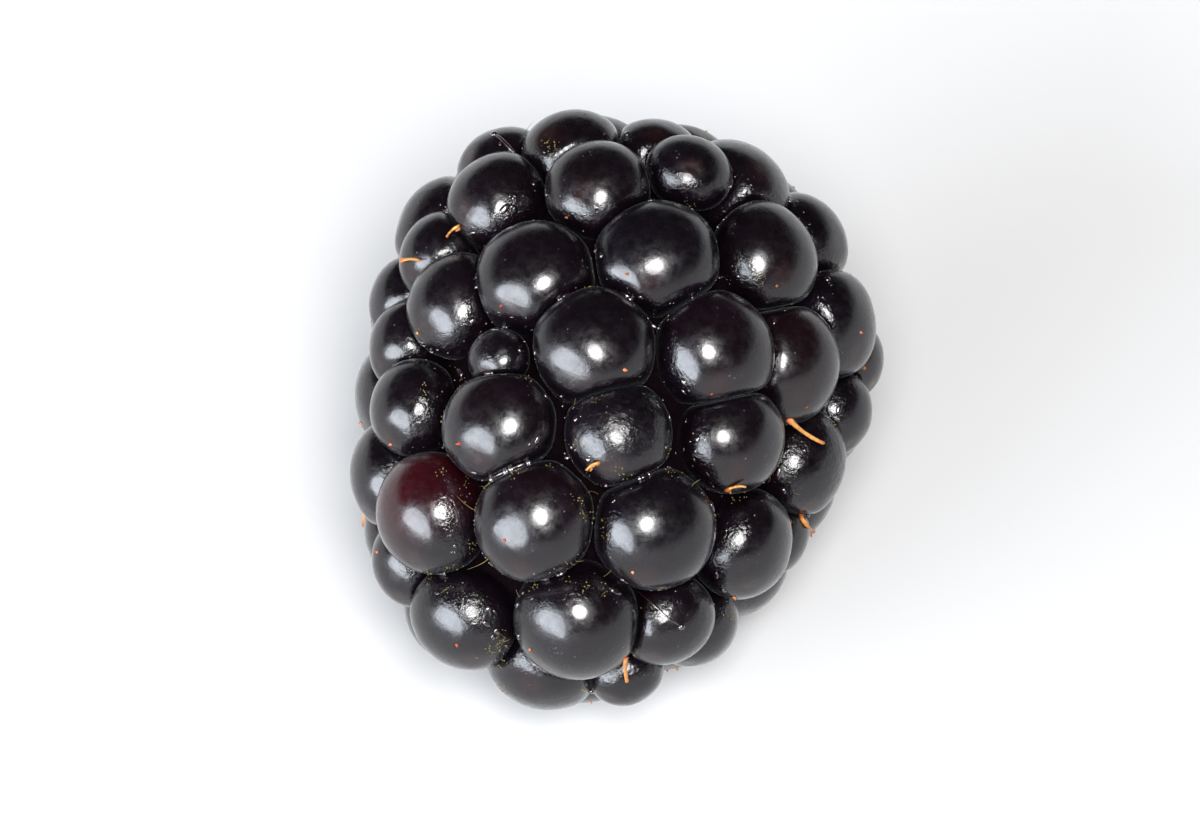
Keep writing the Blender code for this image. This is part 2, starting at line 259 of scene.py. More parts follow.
# ---- Dust and hairs ----
DUST_PLACES = 1200
DUST_DEPTHS = (0.8 * MM, 2.6 * MM)
HAIR_CHANCE = (0.02, 0.12)  # everywhere, and how much more at the tip
DUST_CHANCE = (0.04, 0.6)
DUST_GRAINS = (3, 14)
DUST_SPREAD = 0.17 * MM
GRAIN_SUBDIVISIONS = 1
GRAIN_SIZES = (0.010 * MM, 0.034 * MM)
HAIR_POINTS = 6
HAIR_SIDES = 4
HAIR_LENGTHS = (0.25 * MM, 0.70 * MM)
HAIR_RADIUS = 0.013 * MM
HAIR_TAPER = 0.7
HAIR_BEND = 0.45
HAIR_ROOT_DEPTH = 0.03 * MM
HAIR_WAY = (0.4, 0.5)  # how much of the skin's normal and of the way out its direction has
HAIR_SPREAD = 0.6  # and how much chance

# ---- The receptacle's end ----
END_SIDES = 240
END_RINGS = 44
FOLDS = (2, 3, 5, 7, 11, 16, 23)  # round the axis
FOLD_STRENGTHS = (0.4, 1)
FIBRE_WAVES = 16
FIBRE_COUNTS = (9, 75)
FIBRE_DRIFTS = (1, 5)  # radians between the axis and the rim
FIBRE_SWAYS = (2, 6)  # radians that a wave swings by
FIBRE_CONTRAST = 0.45
FIBRE_HEIGHT = 0.07 * MM
FOLD_HEIGHT = 0.30 * MM
FOLD_REACH = 0.05  # how far a fold stands out, as a share of the radius
RIM_HEIGHT = 0.30 * MM
RIM = (0.12, 0.08, RIM_HEIGHT)  # how far in from the edge and how broad, over the radius, and how high
BOWL_DEPTH = 0.95 * MM
BOWL_FLAT_FROM = 0.75
BOWL_STEEPNESS = 1.2
PITH = (0.95, 0.20, 0.35 * MM)
FOOT_SHARE = 0.75  # of the radius, at the inner end
SHOULDER_SHARE = 0.97
SHOULDER_DEPTH = 0.9 * MM

# ---- Floor, lights and camera ----
FLOOR_HALF = 4.0
# Each sun's name, (right, up, back) of where it stands as seen from FACE_VIEW, degrees across, strength
# and colour.
SUNS = (
    ("key", (0.06, 0.03, 1), 25, 7.2, (1.0, 0.99, 0.985)),
    ("low_left", (-0.76, -0.32, 0.54), 56, 10.5, (0.85, 0.91, 1.0)),
)
WORLD_HORIZON = (0.05, 1.08)  # up to this sine of the height over it, the room's light is this strong
WORLD_OVERHEAD = (0.32, 0.025)  # and from this one on it is this weak
WORLD_COLOUR = (0.955, 0.975, 1.0)
LENS = 250
SENSOR_WIDTH = 36
CAMERA_DISTANCE = 0.35


# ---------------- layout

def outline_value(p, inset=0.0):
    """1 on the berry's outline moved in by inset, and less inside it. The axis is along Y."""
    along = p.y / (HALF_LENGTH - inset)
    across = (HALF_WIDTH - inset) * (1 + TAPER * along)
    return (p.x**2 + p.z**2) / across**2 + abs(along) ** FULLNESS


def outline_normal(p, inset=0.0):
    step = 1e-6
    here = outline_value(p, inset)
    slopes = [outline_value(p + step * axis, inset) - here for axis in Matrix.Identity(3)]
    return Vector(slopes).normalized()


def onto_outline(start, direction, inset=0.0):
    """Where the line from start, which is inside the outline, leaves it."""
    near, far = 0.0, 3 * HALF_WIDTH
    for _ in range(HALVINGS):
        middle = (near + far) / 2
        if outline_value(start + middle * direction, inset) < 1:
            near = middle
        else:
            far = middle
    return start + near * direction


def view_from(azimuth, elevation):
    """(right, up, back) of a view, from degrees round from the tip and above it."""
    azimuth, elevation = math.radians(azimuth), math.radians(elevation)
    right = Vector((math.cos(azimuth), math.sin(azimuth), 0))
    level = math.cos(elevation)
    back = Vector((math.sin(azimuth) * level, -math.cos(azimuth) * level, math.sin(elevation)))
    return right, back.cross(right), back


def nearest_to_viewer(in_view, back, inset):
    """The outline's point nearest to the viewer on the sight line, which is drawn in if it misses."""
    furthest = SIGHT_STEPS + SIGHT_STEPS // 2
    depths = [HALF_LENGTH * k / SIGHT_STEPS for k in range(furthest, -furthest - 1, -1)]
    while True:
        for depth in depths:
            start = in_view + depth * back
            if outline_value(start, inset) < 1:
                return onto_outline(start, back, inset)
        in_view = in_view * DRAWN_IN


def face_drupelets():
    """(centre, radius, inset, hold) of each drupelet of FACE. hold is how firmly it keeps its place."""
    right, up, back = view_from(*FACE_VIEW)
    found = []
    for across, upwards, radius, sunk in FACE:
        inset = (radius + sunk) * TENTH
        in_view = (across * right + upwards * up) * TENTH
        centre = nearest_to_viewer(in_view, back, inset)
        facing = outline_normal(centre, inset).dot(back)
        hold = min(max((facing - HOLD_FROM) / (HOLD_FULLY - HOLD_FROM), 0), 1)
        found.append((centre, radius * TENTH, inset, hold))
    return found


def stem_ring_drupelets():
    found = []
    for i in range(STEM_RING):
        angle = 2 * math.pi * (i + 0.5) / STEM_RING
        start = STEM_RING_REACH * Vector((math.cos(angle), 0, math.sin(angle)))
        centre = onto_outline(start, Vector((0, 1, 0)), STEM_RING_RADIUS)
        found.append((centre, STEM_RING_RADIUS, STEM_RING_RADIUS, STEM_RING_HOLD))
    return found


def spiral_directions(count):
    """Directions spread evenly over a sphere, along a golden-angle spiral about Y."""
    for i in range(count):
        along = 1 - 2 * (i + 0.5) / count
        across = math.sqrt(1 - along**2)
        turn = i * GOLDEN_ANGLE
        yield Vector((across * math.cos(turn), along, across * math.sin(turn)))


def is_clear(centre, radius, others, share):
    return all((centre - c).length > share * PACKING * (radius + r) for c, r, _, _ in others)


def settled(found):
    """The drupelets after those that crowd each other have made way."""
    middle = Vector((0, 0, 0))
    for _ in range(SETTLE_STEPS):
        for i, (centre, radius, inset, hold) in enumerate(found):
            push = Vector((0, 0, 0))
            for other, other_radius, _, _ in found[:i] + found[i + 1 :]:
                apart = centre - other
                crowding = PACKING * (radius + other_radius) - apart.length
                if crowding > 0:
                    push += apart.normalized() * crowding
            moved = centre + MAKE_WAY * (1 - hold) * push
            found[i] = (onto_outline(middle, moved.normalized(), inset), radius, inset, hold)
    return found


def drupelets():
    """(centre, outward direction, radius) of every drupelet, in the berry's own frame."""
    _, _, back = view_from(*FACE_VIEW)
    found = face_drupelets()
    found += [d for d in stem_ring_drupelets() if is_clear(*d[:2], found, STEM_RING_ROOM)]
    hollow = onto_outline(Vector((0, 0, 0)), Vector((0, 1, 0)), FILL_RADIUS)
    found.append((hollow, RECEPTACLE_RADIUS, FILL_RADIUS, 1))
    for _ in range(FILL_ROUNDS):
        for direction in spiral_directions(FILL_CANDIDATES):
            centre = onto_outline(Vector((0, 0, 0)), direction, FILL_RADIUS)
            unseen = outline_normal(centre, FILL_RADIUS).dot(back) < FACE_EDGE
            if unseen and is_clear(centre, FILL_RADIUS, found, ROOM):
                found.append((centre, FILL_RADIUS, FILL_RADIUS, 0))
        found = settled(found)
    found = [d for d in found if d[0] != hollow]
    return [(centre, outline_normal(centre, inset), SWELL * radius) for centre, radius, inset, _ in found]


POSE = Matrix.Translation((0, 0, REST_HEIGHT)) @ Matrix.Rotation(math.radians(REST_PITCH), 4, "X")
TURN = POSE.to_3x3()
AXIS = TURN @ Vector((0, 1, 0))  # from the tip to the stem end, as the berry lies
BERRY_MIDDLE = POSE @ Vector((0, 0, 0))


def posed_view(view):
    """(right, up, back) of a view of the berry's own frame, as the berry lies."""
    return tuple(TURN @ v for v in view_from(*view))


# ---------------- meshes

def add_piece(name, points, faces, material, slot=None, replaced=(), **values):
    """A smooth-shaded mesh piece that rides on the berry. values are named numbers for each vertex."""
    mesh = bpy.data.meshes.new(name)
    mesh.from_pydata([tuple(p) for p in points], [], [tuple(f) for f in faces])
    for value_name, numbers in values.items():
        layer = mesh.attributes.new(value_name, "FLOAT", "POINT")
        layer.data.foreach_set("value", np.asarray(numbers, np.float32))
    mesh.shade_smooth()
    mesh.materials.append(material)
    piece = bpy.data.objects.new(name, mesh)
    bpy.context.scene.collection.objects.link(piece)
    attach(piece, "root")
    if replaced:
        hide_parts(*replaced)
    return piece


class Heap:
    """Many small closed shapes gathered in one mesh, with named numbers for each vertex."""

    def __init__(self, *names):
        self.points, self.faces = [], []
        self.values = {name: [] for name in names}

    def add_piece(self, name, material, slot=None, replaced=()):
        add_piece(name, self.points, self.faces, material, slot, replaced, **self.values)

    def add(self, points, faces, **values):
        first = len(self.points)
        self.points.extend(points)
        self.faces.extend([tuple(first + v for v in face) for face in faces])
        for name, numbers in values.items():
            self.values[name].extend(np.broadcast_to(numbers, len(points)).tolist())


def unit_ball(subdivisions):
    """(points, faces) of an icosphere of radius 1, as arrays."""
    bm = bmesh.new()
    bmesh.ops.create_icosphere(bm, subdivisions=subdivisions, radius=1)
    points = np.array([v.co for v in bm.verts])
    points /= np.linalg.norm(points, axis=1)[:, None]
    faces = np.array([[v.index for v in f.verts] for f in bm.faces])
    bm.free()
    return points, faces


def ring_faces(rings, sides):
    """Quads between rings of points. They face outwards if each ring turns anticlockwise about the way on."""
    faces = []
    for k in range(rings - 1):
        for s in range(sides):
            a, b = k * sides + s, k * sides + (s + 1) % sides
            faces.append((a, b, b + sides, a + sides))
    return faces


def turned_over(faces):
    return [(a, d, c, b) for a, b, c, d in faces]


def tube(path, radii, sides, flatten=1.0, seed=0.0):
    """(points, faces, share of the length) of a closed tube along a path."""
    path = [Vector(p) for p in path]
    points, along = [], []
    side = (path[1] - path[0]).normalized().orthogonal()
    for k, place in enumerate(path):
        ahead = (path[min(k + 1, len(path) - 1)] - path[max(k - 1, 0)]).normalized()
        side = (side - side.dot(ahead) * ahead).normalized()
        other = ahead.cross(side)
        for s in range(sides):
            angle = 2 * math.pi * s / sides + seed
            offset = math.cos(angle) * side + flatten * math.sin(angle) * other
            points.append(place + radii[k] * offset)
            along.append(k / (len(path) - 1))
    faces = ring_faces(len(path), sides)
    faces.append(tuple(reversed(range(sides))))
    faces.append(tuple(range(len(points) - sides, len(points))))
    return points, faces, along


def hump(share, where, spread, height):
    """A smooth hump's height at a share of the way. It is highest at where."""
    return height * math.exp(-(((share - where) / spread) ** 2))


def smooth_path(points, count):
    """count points along a Catmull-Rom curve through the points."""
    ends = [2 * points[0] - points[1], *points, 2 * points[-1] - points[-2]]
    found = []
    for i in range(count):
        t = (len(points) - 1) * i / (count - 1)
        k = min(int(t), len(points) - 2)
        u = t - k
        a, b, c, d = ends[k : k + 4]
        found.append(
            0.5 * (2 * b + (c - a) * u + (2 * a - 5 * b + 4 * c - d) * u**2 + (3 * b - a - 3 * c + d) * u**3)
        )
    return found


# ---------------- skins

def skin_shape(index, lobes, directions, rng):
    """(points, how deep in a cleft each is) of one drupelet's skin, which presses on its neighbours."""
    centre, outward, radius = lobes[index]
    centre, outward = np.array(centre), np.array(outward)
    across = np.cross(outward, rng.normal(size=3))
    spans = [rng.uniform(*span) for span in SKIN_SPANS]
    if outward @ np.array(AXIS) > STEM_END_FACING:
        across = (centre - np.array(BERRY_MIDDLE)) @ (np.eye(3) - np.outer(outward, outward))
        spans[1] = STEM_END_STRETCH
    across /= np.linalg.norm(across)
    along = np.cross(outward, across)
    ways = zip((outward, across, along), spans)
    free = radius / np.sqrt(sum(((directions @ way) / span) ** 2 for way, span in ways))
    for _ in range(LUMPS):
        wave = rng.normal(size=3) * LUMP_FREQUENCY
        free *= 1 + LUMP_HEIGHT * np.sin(directions @ wave + rng.uniform(0, 2 * math.pi))
    outwards = directions @ outward
    free *= 1 - BASE_FLATNESS * np.clip(-outwards - BASE_FROM, 0, 1) ** 2
    crowd = free**-SQUARENESS
    for other, (place, _, other_radius) in enumerate(lobes):
        apart = np.array(place) - centre
        distance = np.linalg.norm(apart)
        if other == index or distance > NEIGHBOUR_REACH * (radius + other_radius):
            continue
        to_plane = (distance**2 + radius**2 - other_radius**2) / (2 * distance) - CLEFT_GAP / 2
        towards = np.clip(directions @ (apart / distance), 1e-3, None)
        crowd += (max(to_plane, LEAST_REACH * radius) / towards) ** -SQUARENESS
    reach = crowd ** (-1 / SQUARENESS)
    pressed = np.clip((1 - reach / free) / PRESSED_FULLY, 0, 1)
    low = np.clip((LOW_FROM - outwards) / LOW_OVER, 0, 1)
    return centre + reach[:, None] * directions, np.maximum(pressed, low)


def rest_on_surface(points):
    """Flattens what would reach below the surface that the berry rests on."""
    height = points[:, 2]
    points[:, 2] = (height + np.sqrt(height**2 + REST_SOFTNESS**2)) / 2
    return points


def skin_tones(index, outward, directions):
    """How red, scarred and crinkled one drupelet's skin is at each of its points, from 0 to 1."""
    tipward = np.array(-AXIS) - (-AXIS).dot(outward) * np.array(outward)
    tipward /= max(np.linalg.norm(tipward), 1e-6)
    to_tip, outwards = directions @ tipward, directions @ np.array(outward)
    red_side, dry_side = (
        np.clip(middle + at_tip * to_tip + on_top * outwards, 0, 1)
        for middle, at_tip, on_top in (RED_SHARE, DRY_SHARE)
    )
    scar_way = np.array(outward) * math.cos(SCAR_LEAN) + tipward * math.sin(SCAR_LEAN)
    from_scar = np.arccos(np.clip(directions @ scar_way, -1, 1))
    return {
        "red": RIPENESS.get(index, OTHER_RED.get(index, 0.0)) * red_side,
        "scar": np.exp(-((from_scar / SCAR_SPREAD) ** 2)),
        "crinkled": CRINKLED.get(index, 0.0) * dry_side,
    }


def build_skins(lobes, material):
    """All skins in rings along the axis. Returns each skin's (points, cleft), and their common faces."""
    directions, ball_faces = unit_ball(SKIN_SUBDIVISIONS)
    rng = np.random.default_rng(7)
    shapes = []
    for i in range(len(lobes)):
        points, cleft = skin_shape(i, lobes, directions, rng)
        shapes.append((rest_on_surface(points), cleft))
    order = sorted(range(len(lobes)), key=lambda i: lobes[i][0].dot(AXIS))
    for ring in range(RINGS):
        heap = Heap("cleft", "red", "own", "scar", "crinkled")
        for i in order[len(order) * ring // RINGS : len(order) * (ring + 1) // RINGS]:
            points, cleft = shapes[i]
            tones = skin_tones(i, lobes[i][1], directions)
            heap.add(points, ball_faces, cleft=cleft, own=rng.uniform(), **tones)
        heap.add_piece(f"drupelets_ring_{ring + 1}", material, "drupelet_skin", ("drupelets",))
    return shapes, ball_faces


def skins_tree(shapes, ball_faces, core):
    """A search tree over all skins and the core under them, for casting rays at them."""
    points = [tuple(v.co) for v in core.data.vertices]
    faces = [tuple(face.vertices) for face in core.data.polygons]
    for skin, _ in shapes:
        first = len(points)
        points.extend(map(tuple, skin))
        faces.extend((ball_faces + first).tolist())
    return BVHTree.FromPolygons(points, faces)


def build_core(material):
    """The dark fused bases under the skins, with the receptacle's socket in the stem end. Their near black is
    the drupelets' own colour; their lack of any gloss is painted shade that keeps the clefts black.
    """
    profile = []
    for k in range(CORE_RINGS + 1):
        along = -math.cos(math.pi * k / CORE_RINGS)
        across = (1 + TAPER * along) * math.sqrt(max(1 - abs(along) ** FULLNESS, 0))
        profile.append((CORE * HALF_WIDTH * across, CORE * HALF_LENGTH * along))
    profile = [p for p in profile if p[1] < 0 or p[0] > SOCKET_RADIUS]
    end = RECEPTACLE_END - RECEPTACLE_DEPTH
    profile += [(SOCKET_RADIUS, profile[-1][1]), (SOCKET_RADIUS, end), (0, end)]
    points = []
    for across, along in profile:
        for s in range(CORE_SIDES):
            angle = 2 * math.pi * s / CORE_SIDES
            bump = math.sin(CORE_BUMPS * angle + CORE_BUMP_TWIST * along)
            bumpy = across * (1 + CORE_BUMP_HEIGHT * bump)
            points.append(POSE @ Vector((bumpy * math.cos(angle), along, bumpy * math.sin(angle))))
    faces = turned_over(ring_faces(len(profile), CORE_SIDES))
    return add_piece("fused_bases", points, faces, material, "drupelet_skin", ("drupelets",))


# ---------------- small things on the skins

def random_vector(rng, most):
    """A vector of three random numbers from -most to most."""
    return Vector([rng.uniform(-most, most) for _ in range(3)])


def in_posed_view(view, across, upwards):
    """A place by its offset in a view, in tenths of a millimetre from the berry's middle."""
    right, up, _ = posed_view(view)
    return BERRY_MIDDLE + (across * right + upwards * up) * TENTH


def thread_path(tree, style):
    """A stiff thread over the skins, from its root in one of them to a free end that stands off."""
    view, root, heading, turn, length = style
    right, up, back = posed_view(view)
    in_view = in_posed_view(view, *root)
    path, least = [], []
    for k in range(STYLE_STEPS + 1):
        place, _, _, _ = tree.ray_cast(in_view + SIGHT_FROM * back, -back)
        depth = least[-1] if place is None else (place - in_view).dot(back) + THREAD_CLEARANCE
        least.append(depth)
        path.append(in_view)
        angle = math.radians(heading + turn * k / STYLE_STEPS)
        step = length * MM / STYLE_STEPS
        in_view = in_view + step * (math.cos(angle) * right + math.sin(angle) * up)
    depths = list(least)
    for _ in range(STIFFNESS):
        for k in range(1, STYLE_STEPS):
            depths[k] = max(least[k], (depths[k - 1] + depths[k + 1]) / 2)
    points = [
        p + (depth + STYLE_LIFT * (k / STYLE_STEPS) ** 2) * back
        for k, (p, depth) in enumerate(zip(path, depths))
    ]
    points[0] = points[0] - THREAD_ROOT_DEPTH * back
    return points


def thread_radius(share, number, rng):
    """The radius of a thread at a share of its length."""
    wave_height, wave_along, wave_between = THREAD_WAVE
    swollen = 1 + hump(share, *ROOT_SWELLING) + hump(share, *STIGMA_SWELLING)
    wave = wave_height * math.sin(wave_along * share + wave_between * number)
    uneven = 1 + wave + THREAD_UNEVENNESS * rng.uniform(-1, 1)
    past = max(share - END_FROM, 0) / (1 - END_FROM)
    end = math.sqrt(max(1 - past**2, LEAST_END))
    return THREAD_RADIUS * (1 - THREAD_TAPER * share) * swollen * uneven * end


def build_styles(tree, material):
    rng = random.Random(3)
    for i, style in enumerate(STYLES):
        path = smooth_path(thread_path(tree, style), THREAD_POINTS)
        radii = [thread_radius(k / (THREAD_POINTS - 1), i, rng) for k in range(THREAD_POINTS)]
        points, faces, along = tube(path, radii, THREAD_SIDES, flatten=THREAD_FLATNESS, seed=i)
        own = [rng.random()] * len(points)
        node = f"style_{i + 1:02d}"
        add_piece(
            f"{node}_thread", points, faces, material, "style_thread", (node,), along=along, own=own
        )


def add_stub(heap, place, normal, lean, size, red, rng):
    """A style's broken-off foot: a small crooked cone."""
    path, radii = [], []
    for k in range(STUB_RINGS):
        share = k / (STUB_RINGS - 1)
        path.append(place - STUB_ROOT_DEPTH * normal + size * (share * normal + share**2 * lean))
        radii.append(size * (STUB_FOOT - STUB_TAPER * share) * rng.uniform(*STUB_UNEVENNESS))
    points, faces, along = tube(path, radii, STUB_SIDES, seed=rng.uniform(*PHASES))
    heap.add(points, faces, along=along, red=red)


def build_stubs(tree, lobes, material):
    """The stubs of SCARS, and one by the top of most drupelets that FACE doesn't show."""
    rng = random.Random(11)
    heap = Heap("along", "red")
    _, _, back = posed_view(FACE_VIEW)
    for across, upwards, red in SCARS:
        start = in_posed_view(FACE_VIEW, across, upwards) + SIGHT_FROM * back
        place, normal, _, _ = tree.ray_cast(start, -back)
        if place is not None:
            lean = random_vector(rng, STUB_LEAN)
            add_stub(heap, place, normal, lean, rng.uniform(*STUB_SIZES), red, rng)
    for centre, outward, _ in lobes[len(FACE) :]:
        tipward = (-AXIS + AXIS.dot(outward) * outward).normalized()
        aside = outward.cross(tipward) * rng.uniform(-STUB_ASIDE, STUB_ASIDE)
        way = (outward + tipward * rng.uniform(*STUB_TIPWARD) + aside).normalized()
        place, normal, _, _ = tree.ray_cast(centre + STUB_SIGHT_FROM * way, -way)
        if place is not None and place.z > STUB_LOWEST and rng.random() < STUB_CHANCE:
            lean = random_vector(rng, STUB_LEAN)
            size = rng.uniform(*OTHER_STUB_SIZES)
            add_stub(heap, place, normal, lean, size, rng.random() ** 2, rng)
    heap.add_piece("style_stubs", material, "style_thread")


def cleft_places(tree, depths, count, rng):
    """Places between the drupelets that show from outside, each with its skin's normal and the way out."""
    shallow, deep = depths
    found = []
    while len(found) < count:
        way = Vector([rng.gauss(0, 1) for _ in range(3)]).normalized()
        on_outline = onto_outline(Vector((0, 0, 0)), way)
        out = TURN @ outline_normal(on_outline)
        start = POSE @ on_outline + CLEFT_SIGHT_FROM * out
        slant = (random_vector(rng, CLEFT_SLANT) - out).normalized()
        place, normal, _, _ = tree.ray_cast(start, slant)
        if place is None or place.z < CLEFT_LOWEST:
            continue
        depth = (POSE @ on_outline - place).dot(out)
        if shallow < depth < deep:
            found.append((place, normal, out))
    return found


def add_drop(heap, ball, place, out, size, rng):
    """A flattened drop of juice."""
    along = out.orthogonal().normalized()
    axes = size * np.array([rng.uniform(*DROP_LENGTHS) * along, DROP_HEIGHT * out, out.cross(along)])
    points, faces = ball
    heap.add(points @ axes + np.array(place), faces, own=rng.random())


def crease(tree, one, other, half_width, start, sweep):
    """(points, way out) of a part of the crease between two drupelets, up to where it opens."""
    (centre, outward, radius), (other_centre, other_outward, other_radius) = one, other
    apart = other_centre - centre
    towards = apart.normalized()
    to_plane = (apart.length_squared + radius**2 - other_radius**2) / (2 * apart.length)
    middle = centre + to_plane * towards
    out = outward + other_outward
    out = (out - out.dot(towards) * towards).normalized()
    aside = towards.cross(out)
    path = []
    for k in range(LINE_STEPS):
        angle = start + sweep * k / (LINE_STEPS - 1)
        way = math.cos(angle) * out + math.sin(angle) * aside
        hits = [
            tree.ray_cast(middle + LINE_SIGHT_FROM * way + shift * towards, -way)[0]
            for shift in (-half_width, half_width)
        ]
        if None in hits or (hits[0] - hits[1]).length > LINE_JUMP:
            break
        path.append((hits[0] + hits[1]) / 2)
    return path, out


def add_line(heap, ball, tree, one, other, start, wet, rng):
    """A thin line of juice in the crease between two drupelets, often with a drop at an end."""
    half_width = rng.uniform(*LINE_HALF_WIDTHS) * (WET_WIDER if wet else 1)
    path, out = crease(tree, one, other, half_width, start, rng.uniform(*LINE_SWEEPS))
    if len(path) < LINE_LEAST or min(p.z for p in path) < LINE_LOWEST:
        return
    first, used = LINE_ROUNDING
    shares = [first + used * k / (len(path) - 1) for k in range(len(path))]
    radii = [half_width * math.sin(math.pi * share) ** 0.5 for share in shares]
    points, faces, _ = tube(path, radii, LINE_SIDES)
    heap.add(points, faces, own=rng.random())
    for end in (path[0], path[-1]):
        if rng.random() < (WET_END_DROP_CHANCE if wet else END_DROP_CHANCE):
            add_drop(heap, ball, end, out, half_width * rng.uniform(*END_DROP_SIZES), rng)


def build_lines(heap, ball, tree, lobes, rng):
    for i, one in enumerate(lobes):
        for j, other in enumerate(lobes[:i]):
            if (one[0] - other[0]).length > LINE_REACH * (one[2] + other[2]):
                continue
            wet = i in WET and j in WET
            for start in WET_STARTS if wet else (rng.uniform(*LINE_STARTS),):
                if wet or rng.random() < LINE_CHANCE:
                    add_line(heap, ball, tree, one, other, start, wet, rng)


def add_sparkle(heap, ball, place, normal, out, rng):
    """A tiny drop of juice, some of them long, that lies flat on a skin."""
    size = SPARKLE_SIZE * rng.uniform(*SPARKLE_SIZES)
    size *= BIG_SPARKLE if rng.random() < BIG_SPARKLE_CHANCE else 1
    along = normal.cross(out)
    along = along.normalized() if along.length > LEAST_SINE else normal.orthogonal()
    length = rng.choice(SPARKLE_LENGTHS)
    axes = np.array([length * along, SPARKLE_HEIGHT * normal, normal.cross(along)])
    points, faces = ball
    heap.add(points @ (size * axes) + np.array(place), faces, own=rng.random())


def build_juice(tree, lobes, material):
    """Thin lines and tiny drops of juice that sit in the clefts."""
    rng = random.Random(5)
    ball = unit_ball(DROP_SUBDIVISIONS)
    heap = Heap("own")
    build_lines(heap, ball, tree, lobes, rng)
    for place, normal, out in cleft_places(tree, SPARKLE_DEPTHS, SPARKLES, rng):
        add_sparkle(heap, ball, place, normal, out, rng)
    heap.add_piece("juice", material)


def chance_at(place, chance):
    """A chance that grows from the berry's middle to its tip, from (everywhere, how much more at the tip)."""
    everywhere, more = chance
    to_tip = max(-(place - BERRY_MIDDLE).dot(AXIS) / HALF_LENGTH, 0)
    return everywhere + more * to_tip**2


def add_hair(heap, place, normal, out, rng):
    """A fine bent hair that stands in a cleft."""
    length = rng.uniform(*HAIR_LENGTHS)
    bend = HAIR_BEND * random_vector(rng, 1)
    by_normal, by_out = HAIR_WAY
    start = (normal * by_normal + out * by_out + random_vector(rng, HAIR_SPREAD)).normalized()
    path, radii = [], []
    for k in range(HAIR_POINTS):
        share = k / (HAIR_POINTS - 1)
        path.append(place + length * (share * start + share**2 * bend) - HAIR_ROOT_DEPTH * normal)
        radii.append(HAIR_RADIUS * (1 - HAIR_TAPER * share))
    points, faces, shares = tube(path, radii, HAIR_SIDES)
    heap.add(points, faces, along=shares, own=rng.random())


def add_grain(heap, ball, place, normal, rng):
    """A grain of dust near a place, on its skin."""
    points, faces = ball
    spread = Vector([rng.gauss(0, DUST_SPREAD) for _ in range(3)])
    spread -= spread.dot(normal) * normal
    size = rng.uniform(*GRAIN_SIZES)
    points = points * size + np.array(place + spread)
    heap.add(points, faces, along=rng.uniform(0, 1), own=rng.random())


def build_dust(tree, material):
    """Yellowish grains of dust and a few fine hairs in the clefts, thickest round the tip."""
    rng = random.Random(9)
    ball = unit_ball(GRAIN_SUBDIVISIONS)
    heap = Heap("along", "own")
    for place, normal, out in cleft_places(tree, DUST_DEPTHS, DUST_PLACES, rng):
        if rng.random() < chance_at(place, HAIR_CHANCE):
            add_hair(heap, place, normal, out, rng)
        if rng.random() < chance_at(place, DUST_CHANCE):
            for _ in range(rng.randint(*DUST_GRAINS)):
                add_grain(heap, ball, place, normal, rng)
    heap.add_piece("cleft_dust", material, "style_thread")


# ---------------- receptacle

def receptacle_profile():
    """(distance from the axis, place along it) from the inner end round the rim to the bowl's middle."""
    inner_end = RECEPTACLE_END - RECEPTACLE_DEPTH
    shoulder = RECEPTACLE_END - SHOULDER_DEPTH
    profile = [(FOOT_SHARE * RECEPTACLE_RADIUS, inner_end), (SHOULDER_SHARE * RECEPTACLE_RADIUS, shoulder)]
    for k in range(END_RINGS + 1):
        share = k / END_RINGS
        bowl = BOWL_DEPTH * min(share / BOWL_FLAT_FROM, 1) ** BOWL_STEEPNESS
        along = RECEPTACLE_END - RIM_HEIGHT + hump(share, *RIM) - bowl + hump(share, *PITH)
        profile.append((RECEPTACLE_RADIUS * (1 - share), along))
    return profile


def build_receptacle(material):
    """The receptacle's torn end: a shallow bowl of wet fibres with a thin uneven rim."""
    rng = np.random.default_rng(2)
    turns = np.linspace(0, 2 * np.pi, END_SIDES, endpoint=False)
    folds = sum(
        rng.uniform(*FOLD_STRENGTHS) / n**0.5 * np.sin(n * turns + rng.uniform(*PHASES)) for n in FOLDS
    )
    folds /= np.abs(folds).max()
    waves = [
        (rng.integers(*FIBRE_COUNTS), *(rng.uniform(*span) for span in (PHASES, FIBRE_DRIFTS, FIBRE_SWAYS)))
        for _ in range(FIBRE_WAVES)
    ]
    profile = receptacle_profile()
    points, rims, streaks = [], [], []
    for across, along in profile:
        from_axis = across / RECEPTACLE_RADIUS
        fibre = sum(
            np.sin(count * turns + phase + drift * from_axis + sway * np.sin(turns * 2 + phase))
            for count, phase, drift, sway in waves
        )
        fibre = np.tanh(FIBRE_CONTRAST * fibre) * min(from_axis * 2, 1)
        heights = along + FOLD_HEIGHT * folds * from_axis**1.5 + FIBRE_HEIGHT * fibre
        reaches = across * (1 + FOLD_REACH * folds)
        for turn, height, reach in zip(turns, heights, reaches):
            points.append(POSE @ Vector((reach * math.cos(turn), height, reach * math.sin(turn))))
        rims.extend([from_axis] * END_SIDES)
        streaks.extend((0.5 + 0.5 * fibre).tolist())
    faces = turned_over(ring_faces(len(profile), END_SIDES))
    faces.append(tuple(range(END_SIDES)))
    slot, nodes = "receptacle_flesh", ("receptacle",)
    add_piece("receptacle_end", points, faces, material, slot, nodes, rim=rims, streak=streaks)


# ---------------- materials

